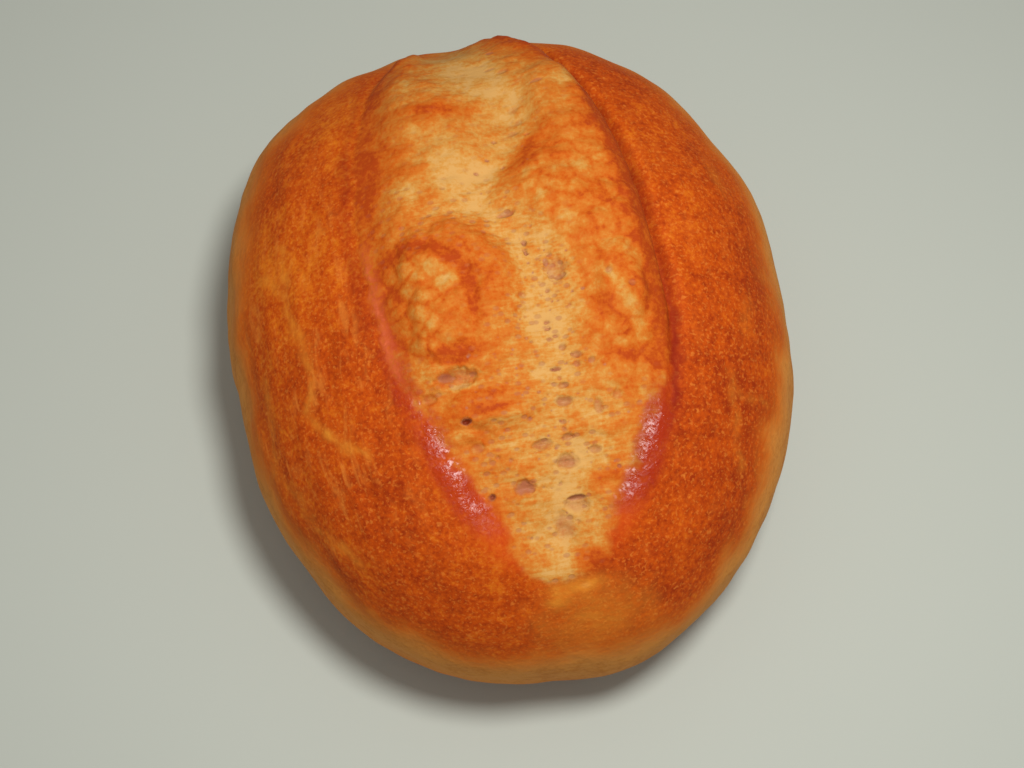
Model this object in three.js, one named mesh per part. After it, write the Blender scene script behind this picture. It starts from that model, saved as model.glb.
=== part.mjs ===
// A crusty wheat roll, baked with one lengthwise cut that burst open in the oven: a domed oval body on a
// flat base, two swollen lobes of torn crumb between the lips of the crust, and a valley between the lobes.
// Towards the near tip of the cut the crumb lies lower than the lips, with open bubbles in it.
// Millimetres, +Z up, +Y along the cut, the origin on the table under the middle of the roll.
import * as THREE from "three";
import { mergeVertices } from "three/addons/utils/BufferGeometryUtils.js";

const { clamp, degToRad, lerp, smoothstep } = THREE.MathUtils;

// Body
const rollWidth = 80.2;
const rollLength = 96;
const outlineSquareness = 2.25; // 2 is an ellipse, more is boxier
const outlineTurn = degToRad(0.5); // the oval lies a little askew to the cut
const cornerSwell = { corners: 3, share: 0.0195, turn: degToRad(22) };
const outlineBulges = [
  { angle: degToRad(-79), rise: 1.2, spread: degToRad(11) }, // near end, right of the cut
  { angle: degToRad(-22), rise: 0.3, spread: degToRad(14) }, // right side
  { angle: degToRad(35), rise: -1, spread: degToRad(9) }, // flat behind the right side
  { angle: degToRad(71), rise: 0.6, spread: degToRad(9) }, // far end, right of the cut
  { angle: degToRad(106), rise: -0.4, spread: degToRad(5) }, // far end, left of the cut
  { angle: degToRad(134), rise: 0.7, spread: degToRad(9) }, // far left shoulder
  { angle: degToRad(175), rise: 0.4, spread: degToRad(6) }, // left side, with a shallow dent before it
  { angle: degToRad(203), rise: 0.5, spread: degToRad(14) }, // near left side
];
const domeTop = 48.5; // top of the dome before the burst swells it
const domeSquareness = 2.18;
const bellyHeight = 18.5; // the roll is widest here
const undersideSquareness = 2.3;
const baseShare = 0.74; // flat base, as a share of the widest outline

// Lips of the crust along the cut. Each lip's flank runs from its crease up to the lobe's full height
const cutNear = -41.8;
const cutFar = 47;
const cutTip = 5; // length over which the burst runs out at each end
const leftLip = {
  side: -1,
  reach: 19.4, // from the middle line, where the lip is farthest out
  widestAt: 6,
  taper: 0.55, // less is blunter towards the ends
  flank: 5.8,
  crease: { depth: 0.4, farDepth: 1, width: 1.6 },
};
const rightLip = {
  side: 1,
  reach: 20.1,
  widestAt: -5,
  taper: 0.61,
  flank: 3.8,
  crease: { depth: 1.9, farDepth: 1.2, width: 1.2 },
};
const lipStep = 1; // length over which a lip's slope is taken

// Crumb between the lips: swollen over the far half, sunk between the lips near the tip
const swellFrom = -30;
const swellFull = 4;
const farFrom = 24; // towards the far end the lobes flatten and their flanks steepen
const farFull = 38;
const lobeRise = { left: 1.4, right: 2.5, farShare: 0.5 };
const sunkDepth = 1.3;
const nearFlank = 5.6;
const farFlank = 2.8;
const valley = { middle: 3.4, depth: 1, share: 0.55, width: 5 };
const valleyBend = { at: 8.5, shift: -4.8, length: 6 };
const valleyStart = 18; // from the near tip to where the valley has its full offset
const valleyFarShift = -6; // it swings left at the far end

// Torn skin on the lobes: middle, half sizes and rise
const lumps = [
  { x: -8.6, y: -5.3, across: 10.2, along: 10.9, rise: 1.1 }, // skin folded back, arched at its far side
  { x: -6, y: -20, across: 8, along: 2.6, rise: 0.7 },
  { x: -13, y: -13.5, across: 3.4, along: 4, rise: 0.6 },
  { x: 13.2, y: -7, across: 3.2, along: 6.4, rise: 0.7 },
  { x: 10.5, y: 23, across: 4.2, along: 8, rise: 0.7 },
  { x: -9.5, y: 26, across: 5.5, along: 7, rise: 0.6 },
  { x: 11, y: 40, across: 7.5, along: 8, rise: 0.5 },
  { x: -8.5, y: 41, across: 2.6, along: 5, rise: 0.6 },
];
const lumpFall = { from: 0.6, to: 1.15 }; // shares of a lump's half size where it starts to fall and ends

// Large open bubbles in the crumb
const pores = [
  { x: 5.6, y: -3.2, across: 2, along: 2.1, depth: 0.6 },
  { x: -9.1, y: -15.2, across: 3.8, along: 1.9, depth: 1.3 },
  { x: 2.6, y: -28.1, across: 2.2, along: 1.6, depth: 0.6 },
  { x: -3.2, y: -30.2, across: 2, along: 1.6, depth: 0.6 },
  { x: 2.3, y: -34.8, across: 2.6, along: 2.6, depth: 0.7 },
];
const poreFall = { from: 0.3, to: 1.15 };

// Facets: rows of triangles along one edge of the icosahedron, and how they are shared out
const facetRows = 22;
const bellyFall = degToRad(108); // angle down from the top at which a facet row meets the belly
const baseFall = degToRad(144); // and the edge of the flat base
const topCrowding = 0.2; // facets gather over the cut
const lipCrowding = { pull: 0.5, width: 4.6, fade: 8 }; // and along the two creases, not at the outline

const bump = (distance, width) => Math.exp(-((distance / width) ** 2));

// Widest outline seen from above, as a radius round the middle
function outlineRadius(angle) {
  const turned = angle - outlineTurn;
  const across = Math.abs(Math.cos(turned) / (rollWidth / 2)) ** outlineSquareness;
  const along = Math.abs(Math.sin(turned) / (rollLength / 2)) ** outlineSquareness;
  let radius = (across + along) ** (-1 / outlineSquareness);
  radius *= 1 + cornerSwell.share * Math.cos(cornerSwell.corners * (angle - cornerSwell.turn));
  for (const bulge of outlineBulges) {
    const apart = Math.atan2(Math.sin(angle - bulge.angle), Math.cos(angle - bulge.angle));
    radius += bulge.rise * bump(apart, bulge.spread);
  }
  return radius;
}

// How far out a plan position lies: 0 in the middle, 1 on the outline
function outlineShare(x, y) {
  return Math.hypot(x, y) / outlineRadius(Math.atan2(y, x));
}

function domeHeight(x, y) {
  const share = Math.min(outlineShare(x, y), 1);
  return bellyHeight + (domeTop - bellyHeight) * (1 - share ** domeSquareness) ** (1 / domeSquareness);
}

// The lip of the crust: its distance from the middle line, closing to nothing at both ends of the cut
function lipReach(lip, y) {
  const end = y < lip.widestAt ? cutNear : cutFar;
  const run = clamp((y - lip.widestAt) / (end - lip.widestAt), 0, 1);
  return lip.reach * (1 - run ** 2) ** lip.taper;
}

// Distance inside a lip, square to it, negative out on the crust
function insideLip(lip, x, y) {
  const slope = (lipReach(lip, y + lipStep / 2) - lipReach(lip, y - lipStep / 2)) / lipStep;
  return (lipReach(lip, y) - lip.side * x) / Math.hypot(1, slope);
}

function valleyMiddle(y) {
  const start = smoothstep(y, cutNear, cutNear + valleyStart);
  const bend = valleyBend.shift * bump(y - valleyBend.at, valleyBend.length);
  return valley.middle * start + bend + valleyFarShift * smoothstep(y, farFrom, farFull);
}

// Height of a rounded patch: 1 over its middle, falling to nothing round its edge
function patch({ x, y, across, along }, fall, atX, atY) {
  const share = Math.hypot((atX - x) / across, (atY - y) / along);
  return 1 - smoothstep(share, fall.from, fall.to);
}

// Swelling of the burst over the smooth dome, outwards positive
function burst(x, y) {
  const left = insideLip(leftLip, x, y);
  const right = insideLip(rightLip, x, y);
  const inside = -Math.log(Math.exp(-left) + Math.exp(-right)); // the nearer one, with no kink at the tip
  const open = smoothstep(y, cutNear, cutNear + cutTip) * (1 - smoothstep(y, cutFar - cutTip, cutFar));
  const swollen = smoothstep(y, swellFrom, swellFull); // 0 near the tip, 1 over the far half
  const far = smoothstep(y, farFrom, farFull);
  const sideFlank = left < right ? leftLip.flank : rightLip.flank;
  const crumb = smoothstep(inside, 0, lerp(lerp(nearFlank, sideFlank, swollen), farFlank, far));

  const middle = valleyMiddle(y);
  const rightward = smoothstep(x, middle - valley.width, middle + valley.width);
  const sideRise = lerp(lobeRise.left, lobeRise.right, rightward);
  const trough = (valley.depth + valley.share * sideRise * swollen) * bump(x - middle, valley.width);
  const lobe = sideRise * lerp(1, lobeRise.farShare, far);
  let relief = crumb * (lerp(-sunkDepth, lobe, swollen) - trough);
  for (const lump of lumps) {
    relief += crumb * lump.rise * patch(lump, lumpFall, x, y);
  }
  for (const pore of pores) {
    relief -= crumb * pore.depth * patch(pore, poreFall, x, y);
  }
  for (const [distance, { depth, farDepth, width }] of [[left, leftLip.crease], [right, rightLip.crease]]) {
    relief -= swollen * lerp(depth, farDepth, far) * bump(distance, width);
  }
  return open * relief;
}

// Draws plan positions sideways towards the creases, so that their edges stay crisp
function crowd(x, y) {
  let moved = x;
  for (const lip of [leftLip, rightLip]) {
    const inside = lipReach(lip, y) - lip.side * x;
    moved += lip.side * lipCrowding.pull * inside * bump(inside, lipCrowding.width);
  }
  return lerp(moved, x, outlineShare(x, y) ** lipCrowding.fade);
}

function upperBody(angle, fall) {
  const share = Math.sin((fall / bellyFall) * (Math.PI / 2)) ** (2 / domeSquareness);
  const radius = outlineRadius(angle) * share * lerp(1 - topCrowding, 1, share ** 2);
  const y = radius * Math.sin(angle);
  const x = crowd(radius * Math.cos(angle), y);
  const z = domeHeight(x, y);
  const outwards = new THREE.Vector3(
    x / (rollWidth / 2) ** 2,
    y / (rollLength / 2) ** 2,
    (z - bellyHeight) / (domeTop - bellyHeight) ** 2,
  );
  return new THREE.Vector3(x, y, z).addScaledVector(outwards.normalize(), burst(x, y));
}

// From the belly the side curls under to the base
function lowerSide(angle, fall) {
  const arc = ((fall - bellyFall) / (baseFall - bellyFall)) * (Math.PI / 2);
  const across = Math.cos(arc) ** (2 / undersideSquareness);
  const down = Math.sin(arc) ** (2 / undersideSquareness);
  const radius = outlineRadius(angle) * lerp(baseShare, 1, across);
  return new THREE.Vector3(radius * Math.cos(angle), radius * Math.sin(angle), bellyHeight * (1 - down));
}

function flatBase(angle, fall) {
  const radius = outlineRadius(angle) * baseShare * ((Math.PI - fall) / (Math.PI - baseFall));
  return new THREE.Vector3(radius * Math.cos(angle), radius * Math.sin(angle), 0);
}

// A direction out of the middle becomes a point on the roll's surface
function surfacePoint(direction) {
  const angle = Math.atan2(direction.y, direction.x);
  const fall = Math.acos(clamp(direction.z, -1, 1));
  if (fall < bellyFall) return upperBody(angle, fall);
  if (fall < baseFall) return lowerSide(angle, fall);
  return flatBase(angle, fall);
}

function rollGeometry() {
  const ball = new THREE.IcosahedronGeometry(1, facetRows);
  ball.deleteAttribute("normal");
  ball.deleteAttribute("uv");
  const geometry = mergeVertices(ball, 1e-5);
  const points = geometry.getAttribute("position");
  const direction = new THREE.Vector3();
  for (let i = 0; i < points.count; i += 1) {
    direction.fromBufferAttribute(points, i).normalize();
    points.setXYZ(i, ...surfacePoint(direction).toArray());
  }
  geometry.computeBoundingBox();
  const middle = geometry.boundingBox.getCenter(new THREE.Vector3());
  geometry.translate(-middle.x, -middle.y, 0);
  geometry.computeVertexNormals();
  return geometry;
}

const crust = new THREE.MeshStandardMaterial({ color: 0xbf5a16, roughness: 0.55, metalness: 0 });

const roll = new THREE.Mesh(rollGeometry(), crust);
roll.name = "bread_roll";

const part = new THREE.Group();
part.add(roll);

export default part;
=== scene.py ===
import math
import random

import bmesh
import bpy
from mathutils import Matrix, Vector, geometry, kdtree, noise


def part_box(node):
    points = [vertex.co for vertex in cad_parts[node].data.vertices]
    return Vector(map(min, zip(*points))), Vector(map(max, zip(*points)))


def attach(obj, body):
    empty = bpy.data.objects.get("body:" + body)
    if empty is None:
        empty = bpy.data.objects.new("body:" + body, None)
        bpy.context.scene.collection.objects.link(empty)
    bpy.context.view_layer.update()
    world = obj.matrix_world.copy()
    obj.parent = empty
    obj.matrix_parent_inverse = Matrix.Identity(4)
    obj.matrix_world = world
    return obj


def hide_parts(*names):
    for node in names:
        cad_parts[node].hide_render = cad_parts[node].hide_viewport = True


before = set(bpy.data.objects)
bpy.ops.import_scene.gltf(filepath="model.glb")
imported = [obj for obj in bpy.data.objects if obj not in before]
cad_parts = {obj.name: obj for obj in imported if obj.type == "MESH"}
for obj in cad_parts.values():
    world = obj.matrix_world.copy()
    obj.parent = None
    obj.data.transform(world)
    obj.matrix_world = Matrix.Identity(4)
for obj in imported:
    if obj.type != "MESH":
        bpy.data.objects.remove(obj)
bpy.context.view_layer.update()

mm = 0.001  # shapes are worked out in millimetres, meshes are in metres
cloudGain, cloudStep = 0.9, 2.1  # how each octave of the clouds follows from the last
low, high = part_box("bread_roll")
rollSize = (high - low) / mm
rollFoot = Vector(((low.x + high.x) / 2, (low.y + high.y) / 2, low.z))
print("frame: roll", [round(side, 1) for side in rollSize], "mm")


def ramp(value, start, end):
    share = min(max((value - start) / (end - start), 0.0), 1.0)
    return share * share * (3 - 2 * share)


def mix(a, b, share):
    return a + (b - a) * share


def hump(distance, width):
    return math.exp(-((distance / width) ** 2))


def grain(x, y, z=0.0):
    return noise.noise(Vector((x, y, z)))


def clouds(x, y, z, octaves=3):
    return noise.fractal(Vector((x, y, z)), cloudGain, cloudStep, octaves)


def cloudsAt(scale, x, y):
    return clouds(x * scale[0], y * scale[1], scale[2])


def layered(layers, x, y):
    # sum of grains, each with a weight, a scale across, a scale along and a layer of the noise
    return sum(weight * grain(x * across, y * along, layer) for weight, across, along, layer in layers)


def fade(value, stops):
    # up over the first two stops, down over the last two
    return ramp(value, stops[0], stops[1]) * (1 - ramp(value, stops[2], stops[3]))


# Body: a domed oval on a flat base
bodyShape = {
    "width": 80.2,
    "length": 96.0,
    "squareness": 2.25,  # 2 is an ellipse, more is boxier
    "turn": math.radians(0.5),
    "cornerShare": 0.0195,  # three soft corners
    "cornerTurn": math.radians(22),
    "bulges": (  # place in degrees, rise, spread in degrees
        (-79, 1.2, 11), (-22, 0.3, 14), (35, -1.0, 9), (71, 0.6, 9),
        (106, -0.4, 5), (134, 0.7, 9), (175, 0.4, 6), (203, 0.5, 14),
    ),
    "burstRise": 2.1,  # how far the lobes stand over the dome
    "domeSquareness": 2.18,
    "belly": 18.5,  # height where the roll is widest
    "undersideSquareness": 2.3,
    "baseShare": 0.74,
    "bellyFall": math.radians(108),  # angles down from the top, on the ball that the roll is made from
    "baseFall": math.radians(144),
    "topCrowding": 0.2,
    "dents": ((14.0, 0.38), (5.0, 0.12)),  # size and depth of the crust's unevenness
    "wrinkle": 0.16,  # long folds on the left side
    "wrinkleLeft": (16, 26),
    "wrinkleUp": (14, 24),
    "wrinkleScale": (0.45, 0.09, 0.3),
    "crumbDents": 0.6,  # share of the unevenness that the crumb loses
}
domeTop = rollSize.z - bodyShape["burstRise"]


def outlineRadius(angle):
    turned = angle - bodyShape["turn"]
    power = bodyShape["squareness"]
    across = abs(math.cos(turned) / (bodyShape["width"] / 2)) ** power
    along = abs(math.sin(turned) / (bodyShape["length"] / 2)) ** power
    radius = (across + along) ** (-1 / power)
    radius *= 1 + bodyShape["cornerShare"] * math.cos(3 * (angle - bodyShape["cornerTurn"]))
    for degrees, rise, spread in bodyShape["bulges"]:
        apart = math.remainder(angle - math.radians(degrees), math.tau)
        radius += rise * hump(apart, math.radians(spread))
    return radius


def outlineShare(x, y):
    return math.hypot(x, y) / outlineRadius(math.atan2(y, x))


def domeHeight(x, y):
    share = min(outlineShare(x, y), 1.0)
    power = bodyShape["domeSquareness"]
    return bodyShape["belly"] + (domeTop - bodyShape["belly"]) * (1 - share ** power) ** (1 / power)


def outward(x, y, z):
    return Vector((
        x / (bodyShape["width"] / 2) ** 2,
        y / (bodyShape["length"] / 2) ** 2,
        (z - bodyShape["belly"]) / (domeTop - bodyShape["belly"]) ** 2,
    )).normalized()


# Lips of the crust on both sides of the cut
lips = {
    "near": -41.8,
    "far": 47.0,
    "tip": 5.0,
    "farFade": 5.0,
    "farShut": 0.6,  # the burst ends this far before the far end
    "left": {
        "side": -1, "reach": 19.4, "widestAt": 6.0, "taper": 0.55, "seed": 3.1,
        "wall": 3.2,  # smooth slope inside the near half
        "flank": 8.5, "crease": 0.15, "endCrease": 0.4, "creaseWidth": 0.8, "creaseFrom": -12.0, "lean": 0.1,
        # shade, dark and their neighbours paint shade along the crease, with some browning; the last key
        # darkens the lip under its shine
        "shade": 0.55, "shadeAt": 0.9, "shadeWidth": 0.8, "dark": 0.0, "darkUnderShine": 0.1,
        "shineAlong": (-36.0, -31.0, -23.0, 2.0),
        "shineAcross": (-0.8, 0.4, 2.4, 3.8),
        "browned": (0.22, 0.4),  # near and far
    },
    "right": {
        "side": 1, "reach": 20.1, "widestAt": -5.0, "taper": 0.61, "seed": 8.7,
        "wall": 2.4,
        "flank": 3.8, "crease": 1.8, "endCrease": 1.2, "creaseWidth": 1.1, "creaseFrom": -34.0, "lean": 0.7,
        "shade": 0.7, "shadeAt": 0.3, "shadeWidth": 0.8, "dark": 0.3, "darkUnderShine": 0.5,
        "shineAlong": (-36.0, -31.0, -23.0, -18.0),
        "shineAcross": (-0.8, 0.3, 2.4, 4.0),
        "browned": (0.52, 0.52),
    },
    "creaseRun": 12.0,  # length over which a crease deepens
    "leanAt": 1.5,
    "leanWidth": 1.1,
    "darkAlong": (-25.0, -20.0, -11.0, -5.0),
    "farPale": 0.5,
    "shadeLevel": 0.85,
    "shadeWaverAlong": (0.8, 0.24),  # size and scale
    "shadeWaver": ((0.6, 0.7, 0.7, 12.0),),
    "brownedFar": (0, 10),
    "waves": ((9.0, 0.55), (2.8, 0.22)),  # length and size of the lips' waver
}


def lipReach(lip, y):
    end = lips["near"] if y < lip["widestAt"] else lips["far"]
    run = min(max((y - lip["widestAt"]) / (end - lip["widestAt"]), 0.0), 1.0)
    closing = (1 - run * run) ** lip["taper"]
    waver = sum(size * grain(y / length, lip["seed"]) for length, size in lips["waves"])
    return lip["reach"] * closing + waver * min(closing * 2, 1.0)


def insideLip(lip, x, y):
    slope = lipReach(lip, y + 0.5) - lipReach(lip, y - 0.5)
    return (lipReach(lip, y) - lip["side"] * x) / math.hypot(1, slope)


# Crumb between the lips: two swollen lobes, a valley, torn skin, open bubbles
crumbShape = {
    "swellFrom": -30.0,
    "swellFull": 4.0,
    "farFrom": 24.0,  # towards the far end the lobes flatten and their flanks steepen
    "farFull": 38.0,
    "leftRise": 1.4,
    "rightRise": 2.5,
    "farRise": 0.5,
    "sunk": 1.3,
    "nearFlank": 5.6,
    "endFlank": 2.8,
    "valleyMiddle": 3.4,
    "valleyDepth": 1.0,
    "valleyShare": 0.55,
    "valleyWidth": 5.0,
    "bendAt": 8.5,
    "bendShift": -4.8,
    "bendLength": 6.0,
    "valleyStart": 18.0,
    "farShift": -6.0,  # the valley swings left at the far end
    "tear": 0.4,  # unevenness of the torn dough
    "farTear": 0.15,
    "strand": 0.05,  # fine strands drawn across the cut
    "leather": 0.14,  # wrinkled skin on what browned
    "cell": 2.7,  # bumpy skin on the lobes
    "cellLayer": 4.7,
    "cellRise": 0.3,
    "cellAcross": (2.5, 6),  # right of the valley
    "cellAlong": (-26, -14, 12, 22),
    "wallLeast": 0.2,
    "wallShrinks": (-34, -6),
    "wallStarts": (-40.5, -32),
    "edge": (-0.4, 0.8),  # the crumb sets in over this much, past the wall
    "edgeWaver": ((0.8, 0.35, 0.45, 4.0), (0.4, 1.1, 1.3, 8.0)),
    "tipEdge": 1.4,
    "tipWaver": ((0.9, 0.8, 3.3), (0.5, 2.2, 1.1)),  # weight, scale, layer
    "shallow": 0.6,  # the valley is shallower along here
    "shallowAlong": (20, 28, 35, 41),
    "tearScale": (0.17, 0.27, 6.0),
    "tearEases": (8, 26),
    "leatherScale": (0.5, 0.6, 9.0),
    "leatherFrom": (1.5, 5),
    "strandScale": (0.3, 1.7, 1.5),  # across, along, layer
    "strandSlant": 0.2,
    "fineStrands": ((0.6, 0.6, 3.4, 7.5),),
    "farStrands": 0.7,
    "lumpFall": (0.6, 1.15),
    "lumps": (  # x, y, half width, half length, rise
        (-6.0, -19.6, 8.0, 2.4, 0.55),
        (-4.3, -21.5, 3.8, 1.3, 0.25),
        (-10.0, -22.8, 2.0, 0.9, 0.35),
        (-13.0, -13.5, 3.4, 4.0, 0.6),
        (13.2, -7.0, 3.2, 6.4, 0.7),
        (10.5, 23.0, 4.2, 8.0, 0.7),
        (-9.5, 26.0, 5.5, 7.0, 0.6),
        (11.0, 40.0, 7.5, 8.0, 0.5),
        (-8.5, 41.0, 2.6, 5.0, 0.6),
    ),
}

# Skin of the left lobe, folded back into a bumpy pad with an arched front
skinFold = {
    "x": -8.6,
    "y": -5.3,
    "across": 10.2,
    "along": 10.9,
    "leftAcross": 11.5,  # its left side reaches the lip
    "waver": ((0.08, 0.3, 0.3, 2.0), (0.05, 1.1, 1.1, 5.0)),
    "rise": 0.8,
    "fallFrom": (0.4, 0.78),  # at the near and the far side
    "fallTo": 1.04,
    "archSlant": 0.5,
    "archOver": (-14, -2),  # strongest at the far side, gone at the near one
    "front": 0.2,  # the arched edge leans out by this much
    "frontAt": 0.93,
    "frontWidth": 0.1,
    "skinEdge": (0.9, 1.06),
    "ringX": -11.5,  # a darker ring parts the smooth arch from the bumpy pad
    "ringY": -5.5,
    "ringAcross": 6.2,
    "ringLeft": 9.5,  # towards the lip
    "ringAlong": 8.0,
    "ringWaver": ((0.09, 0.35, 0.35, 6.0), (0.05, 1.2, 1.2, 3.0)),
    "ringDepth": 0.35,
    "ringWidth": 0.14,
    "ringNear": (-14, -8),
    "ringFromLeft": (-18, -14),
    "padEdge": (0.7, 1.0),
    "crown": 0.3,
    "cell": 2.3,
    "cellLayer": 0.3,
    "cellRise": 0.5,
    "settled": 9.0,  # it rises over this much from the lip
    "bumpsFrom": 2.5,  # and its bumps over this much
    "skinBrown": 0.2,
    "ringBrown": 0.26,
    "seamBrown": 0.24,
    # paler cell centres: painted highlight on the tops of the bumps
    "cellHighlight": 0.22,
    "padPale": 0.06,
}

# Open bubbles: large ones placed, small ones strewn along the valley
bubbles = {
    "large": (  # x, y, half width, half length, depth, tone (1 is a film over a hollow, 2 a dark pit, its darkness painted shade)
        (5.6, -3.2, 1.6, 1.9, 0.6, 0.6),
        (5.9, -4.3, 0.8, 0.5, 0.3, 1.1),
        (4.5, -2.1, 0.5, 0.7, 0.2, 1.0),
        (-9.3, -15.4, 3.0, 1.5, 1.0, 0.45),
        (-10.7, -15.1, 1.2, 0.7, 0.3, 1.15),
        (-7.3, -15.2, 0.7, 0.4, 0.2, 0.9),
        (-13.3, -17.3, 1.2, 0.8, 0.4, 0.5),
        (-9.1, -21.0, 0.9, 0.5, 0.8, 1.7),
        (3.8, -20.5, 1.4, 0.8, 0.5, 0.9),
        (8.1, -21.7, 0.7, 1.2, 0.35, 0.6),
        (10.7, -20.5, 0.9, 0.8, 0.4, 0.5),
        (3.9, -18.5, 0.9, 0.5, 0.4, 0.7),
        (0.0, -25.5, 1.6, 0.8, 0.6, 0.8),
        (3.5, -25.0, 0.9, 0.6, 0.4, 0.8),
        (2.9, -28.1, 1.8, 1.1, 0.6, 0.8),
        (-3.2, -30.2, 1.6, 1.1, 0.7, 1.1),
        (-7.6, -30.6, 0.7, 0.5, 0.6, 1.5),
        (6.7, -27.0, 1.0, 0.6, 0.4, 0.6),
        (9.5, -29.3, 0.4, 0.3, 0.3, 1.2),
        (3.4, -33.4, 1.9, 1.2, 0.6, 0.55),
        (3.4, -32.6, 1.5, 0.5, 0.35, 1.2),
        (1.3, -35.7, 1.7, 1.9, 0.35, 0.55),
        (-8.4, -24.5, 1.2, 0.8, 0.35, 0.5),
        (2.3, 1.1, 0.4, 0.5, 0.3, 1.0),
        (2.2, -0.3, 0.3, 0.5, 0.3, 1.0),
        (0.7, -6.2, 0.6, 0.5, 0.3, 0.6),
        (3.3, -10.0, 0.5, 0.3, 0.3, 0.9),
        (3.2, -10.9, 0.5, 0.3, 0.3, 0.9),
        (3.2, -12.3, 0.5, 0.3, 0.3, 1.0),
        (4.1, -12.0, 0.5, 0.3, 0.3, 0.8),
        (4.7, -13.6, 0.6, 0.5, 0.3, 0.8),
        (6.3, -14.8, 0.8, 0.6, 0.4, 1.0),
        (6.2, -16.0, 0.6, 0.5, 0.3, 0.8),
        (8.0, -15.8, 0.6, 0.5, 0.3, 0.7),
        (3.4, -16.3, 0.9, 0.3, 0.4, 1.3),
        (11.7, -4.9, 0.6, 0.5, 0.3, 0.7),
        (14.2, -6.9, 0.6, 0.6, 0.3, 0.6),
        (0.6, 5.6, 1.4, 0.6, 0.5, 0.8),
        (3.4, 35.0, 0.8, 0.5, 0.15, 0.8),
        (2.7, 30.8, 0.9, 0.4, 0.12, 0.6),
        (4.2, 29.5, 0.9, 0.5, 0.12, 0.6),
        (4.5, 22.4, 0.9, 0.8, 0.15, 0.5),
        (4.9, 20.2, 0.7, 0.6, 0.15, 0.5),
        (3.7, 18.4, 1.0, 0.6, 0.15, 0.5),
        (8.0, 25.3, 1.1, 0.4, 0.15, 0.8),
    ),
    "strewn": 170,
    "seed": 11,
    "alongCut": (-39, 20, -26),  # first, last and most crowded place
    "spread": (4.6, 2.0),  # about the valley, near and far
    "spreadOver": (-22, 2),
    "lipMargin": 3,
    "sizes": (0.14, 0.45),
    "smallness": 1.6,  # more makes more small ones
    "flatness": 0.62,
    "flatnessRange": (0.8, 1.3),
    "depthShare": 0.6,
    "tones": (0.4, 1.2),
    "searchWithin": 5.0,
    "farAway": 9.0,  # share where no bubble is near
    "pointed": 0.4,  # stretched bubbles end in points
    "pointedOver": (1.3, 2.2),
    "rimWavers": ((0.16, 1.1), (0.1, 2.6)),  # size and scale
    "rimReach": 1.35,
    "rimRise": 0.05,
    "rimAt": 1.12,
    "rimWidth": 0.16,
    "toneEdge": (0.5, 1.08),
}
cellShape = {
    "waver": 0.35,
    "waverScale": 0.4,
    "level": 0.5,
    "seamWidth": 0.3,
}

# Browning of the crumb: shares of what browns it, and where strands and films of skin show
toasting = {
    "level": 0.48,
    "tear": 0.16,
    "leather": 0.14,
    "seams": 0.2,
    # cells: paler cell centres, painted highlight on the tops of the bumps
    "cells": 0.3,
    "patchWaver": 0.3,
    "patchEdge": (0.2, 1.3),
    "nearLip": 0.15,  # beside the lips, where the lobes aren't swollen
    "lipFrom": 0.3,
    "lipTo": (2.0, 5.5),
    "valleyPale": 0.24,
    "valleyWidth": 5.0,
    "most": 0.95,
    "sheenFilmAcross": (-0.4, 0.5, 0.9, 2.8),  # pink film along the left lip, lighter and pinker as painted sheen and painted light
    "sheenFilmAlong": (-28, -18, 0, 8),
    "wallAcross": (-1.5, 0.5),
    "wallFade": 2,
    "bumpyStrands": 0.8,  # strands show where the crumb stays smooth and pale
    "brownStrands": 0.6,
    "brownOver": (0.35, 0.7),
    "farStrands": 0.7,
    "farOver": (4, 16),
}

# Browner patches, or paler ones where the strength is negative, two of the paler ones painted light: x, y,
# half width, half length, turn, strength
toastAndLightPatches = (
    (9.0, 38.5, 7.5, 5.5, 0, 0.3),
    (-15.0, 30.0, 3.0, 9.0, -15, 0.12),
    (-6.0, 23.5, 6.5, 1.8, -8, 0.30),
    (4.6, 14.0, 2.0, 7.0, -38, 0.45),
    (14.5, 19.0, 4.0, 6.0, 20, 0.20),
    (-17.0, 15.0, 2.5, 6.0, 0, 0.35),
    (-13.8, 16.5, 3.6, 7.0, -8, 0.25),
    (17.0, 4.0, 3.0, 9.0, 8, 0.40),
    (17.2, -9.0, 2.6, 6.0, 0, 0.3),
    (11.0, -9.5, 1.6, 5.0, 28, 0.24),
    (15.5, -16.0, 5.0, 1.6, -12, 0.36),
    (-8.0, -12.0, 4.5, 1.4, 0, 0.40),
    (-5.4, -5.5, 1.3, 4.5, 4, 0.24),
    (-15.6, -4.5, 3.0, 9.0, 4, 0.2),
    (-9.2, -13.2, 3.0, 0.6, -6, 0.4),
    # pale crescent at the foot of the lens-shaped hole: a painted highlight
    (-9.2, -16.6, 2.2, 0.5, -4, -0.5),
    (-6.0, -17.8, 6.5, 0.9, 0, 0.3),
    (-4.8, -19.9, 3.2, 0.5, 6, 0.35),
    (-4.4, -21.4, 3.4, 0.9, 5, -0.14),
    (-10.0, -22.4, 1.8, 0.8, 0, -0.35),
    (-8.0, -19.6, 6.5, 1.3, 4, 0.20),
    (-8.0, -23.5, 2.6, 1.3, 0, 0.20),
    (7.0, -30.5, 3.6, 1.6, 10, 0.30),
    (-4.8, 13.5, 4.4, 8.0, 0, -0.36),
    # paler where the far valley turns from the lamp: painted light
    (-1.0, 31.0, 5.0, 9.0, 8, -0.2),
    (12.0, 26.0, 2.2, 2.2, 0, -0.35),
    (-12.0, 11.0, 3.0, 1.6, 0, -0.35),
    (13.0, -7.5, 1.6, 4.6, 26, -0.32),
    (3.0, -10.0, 3.4, 12.0, 0, -0.18),
    (1.5, -33.0, 8.0, 11.0, 0, -0.14),
    (0.5, -39.0, 2.6, 4.0, 0, -0.08),
    (7.0, -26.0, 3.5, 5.0, 0, -0.14),
    (3.9, -39.2, 2.8, 1.5, 0, 0.75),
)

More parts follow.
